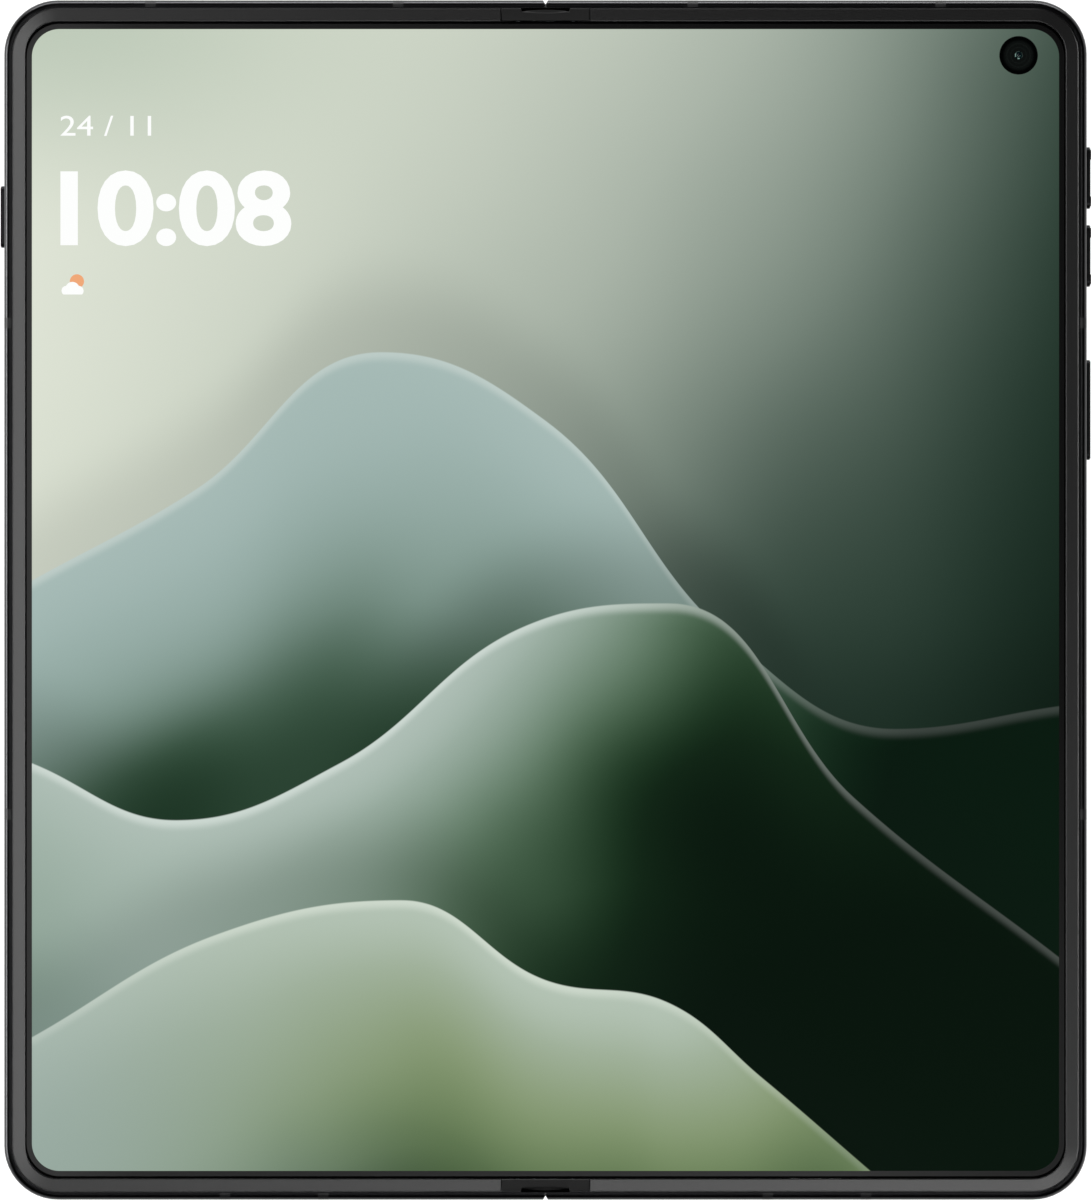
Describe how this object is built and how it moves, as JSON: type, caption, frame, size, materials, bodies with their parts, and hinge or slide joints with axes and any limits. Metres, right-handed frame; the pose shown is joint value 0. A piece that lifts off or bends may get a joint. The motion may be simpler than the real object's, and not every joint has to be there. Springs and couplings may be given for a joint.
{
  "type": "foldable smartphone",
  "caption": "Book-style folding smartphone lying open: two thin halves on a geared hinge, one inner folding screen, outer screen, camera deck, side keys, port and card tray.",
  "frame": {"origin": "under the middle of the whole phone, at the level of the camera rings on its back, the lowest point", "axes": "+Y towards the top edge of the phone, +Z out of the inner screen, +X towards the half with the power key; the fold runs along Y"},
  "size_m": [0.1455, 0.16, 0.0068],
  "materials": {
    "frame_metal": "anodised graphite, satin",
    "key_metal": "anodised graphite, satin",
    "antenna_plastic": "moulded, satin",
    "bezel_plastic": "moulded, soft satin",
    "screen": "clear film over the panel",
    "support_steel": "rolled",
    "rear_glass": "matt, etched",
    "deck_metal": "matt",
    "lens_ring_metal": "turned, anodised",
    "lens_glass": "coated, polished",
    "flash_diffuser": "frosted",
    "camera_body": "moulded",
    "cover_glass_black": "polished",
    "cover_screen": "laminated",
    "board_laminate": "solder resist",
    "shield_steel": "pressed",
    "battery_foil": "laminated foil",
    "copper_coil": "enamelled copper",
    "speaker_plastic": "moulded",
    "switch_brass": "film and domes",
    "hinge_steel": "metal injection moulded",
    "cam_bronze": "sintered",
    "spine_metal": "anodised, satin",
    "cap_rubber": "moulded",
    "flex_film": "polyimide film"
  },
  "bodies": {
    "right_half": {"right_frame": "frame_metal", "right_antenna_breaks": "antenna_plastic", "right_bezel": "bezel_plastic", "right_display": "screen", "right_support_plate": "support_steel", "rear_cover": "rear_glass", "camera_deck": "deck_metal", "main_camera": "camera_body", "ultrawide_camera": "camera_body", "tele_camera": "camera_body", "lens_rings": "lens_ring_metal", "camera_glasses": "lens_glass", "flash_window": "flash_diffuser", "inner_camera": "camera_body", "main_board": "board_laminate", "board_shields": "shield_steel", "right_battery": "battery_foil", "charging_coil": "copper_coil", "lower_board": "board_laminate", "usb_receptacle": "shield_steel", "usb_tongue": "speaker_plastic", "bottom_speaker": "speaker_plastic", "vibration_motor": "shield_steel", "sim_reader": "shield_steel", "right_key_switches": "switch_brass", "right_screws": "hinge_steel", "right_arc_arms": "hinge_steel"},
    "left_half": {"left_frame": "frame_metal", "left_antenna_breaks": "antenna_plastic", "left_bezel": "bezel_plastic", "left_display": "screen", "left_support_plate": "support_steel", "cover_glass": "cover_glass_black", "cover_display": "cover_screen", "cover_camera": "camera_body", "left_battery": "battery_foil", "left_board": "board_laminate", "left_connectors": "shield_steel", "top_speaker": "speaker_plastic", "left_key_switch": "switch_brass", "left_screws": "hinge_steel", "left_arc_arms": "hinge_steel"},
    "spine": {"spine_cover": "spine_metal", "hinge_bases": "hinge_steel", "gear_shafts": "hinge_steel", "disc_springs": "hinge_steel", "cam_blocks": "cam_bronze", "centre_support": "support_steel", "fold_display": "screen", "hinge_end_caps": "cap_rubber", "hinge_flex": "flex_film"},
    "right_sync": {"right_sync_arms": "hinge_steel"},
    "left_sync": {"left_sync_arms": "hinge_steel"},
    "right_idlers": {"right_idler_gears": "hinge_steel"},
    "left_idlers": {"left_idler_gears": "hinge_steel"},
    "volume_up": {"volume_up_key": "key_metal"},
    "volume_down": {"volume_down_key": "key_metal"},
    "power": {"power_key": "key_metal"},
    "side_key": {"left_key": "key_metal"},
    "tray": {"sim_tray": "frame_metal"}
  },
  "joints": [
    {"name": "right_fold", "type": "hinge", "parent": "right_half", "child": "spine", "pos_m": [0.0006, 0, 0.0063], "axis": [0, 1, 0], "range_deg": [0, 90], "deforming": ["fold_display", "hinge_end_caps", "hinge_flex"]},
    {"name": "left_fold", "type": "hinge", "parent": "spine", "child": "left_half", "pos_m": [-0.0006, 0, 0.0063], "axis": [0, 1, 0], "range_deg": [0, 90]},
    {"name": "right_sync_turn", "type": "hinge", "parent": "spine", "child": "right_sync", "pos_m": [0.0023, 0.0618, 0.0046], "axis": [0, 1, 0], "range_deg": [-90, 0]},
    {"name": "left_sync_turn", "type": "hinge", "parent": "spine", "child": "left_sync", "pos_m": [-0.0023, 0.0618, 0.0046], "axis": [0, 1, 0], "range_deg": [0, 90]},
    {"name": "right_idler_turn", "type": "hinge", "parent": "spine", "child": "right_idlers", "pos_m": [0.00077, 0.0618, 0.0046], "axis": [0, 1, 0], "range_deg": [0, 90]},
    {"name": "left_idler_turn", "type": "hinge", "parent": "spine", "child": "left_idlers", "pos_m": [-0.00077, 0.0618, 0.0046], "axis": [0, 1, 0], "range_deg": [-90, 0]},
    {"name": "volume_up_press", "type": "slide", "parent": "right_half", "child": "volume_up", "axis": [-1, 0, 0], "range_m": [0, 0.00025], "stiffness_N_per_m": 400, "springref_m": -0.0005},
    {"name": "volume_down_press", "type": "slide", "parent": "right_half", "child": "volume_down", "axis": [-1, 0, 0], "range_m": [0, 0.00025], "stiffness_N_per_m": 400, "springref_m": -0.0005},
    {"name": "power_press", "type": "slide", "parent": "right_half", "child": "power", "axis": [-1, 0, 0], "range_m": [0, 0.00025], "stiffness_N_per_m": 400, "springref_m": -0.0005},
    {"name": "side_key_press", "type": "slide", "parent": "left_half", "child": "side_key", "axis": [1, 0, 0], "range_m": [0, 0.00025], "stiffness_N_per_m": 400, "springref_m": -0.0005},
    {"name": "tray_slide", "type": "slide", "parent": "right_half", "child": "tray", "axis": [0, -1, 0], "range_m": [0, 0.0195]}
  ],
  "couplings": [
    {"joint": "left_fold", "follows": "right_fold", "ratio": 1},
    {"joint": "right_sync_turn", "follows": "right_fold", "ratio": -1},
    {"joint": "left_sync_turn", "follows": "right_fold", "ratio": 1},
    {"joint": "right_idler_turn", "follows": "right_fold", "ratio": 1},
    {"joint": "left_idler_turn", "follows": "right_fold", "ratio": -1}
  ]
}
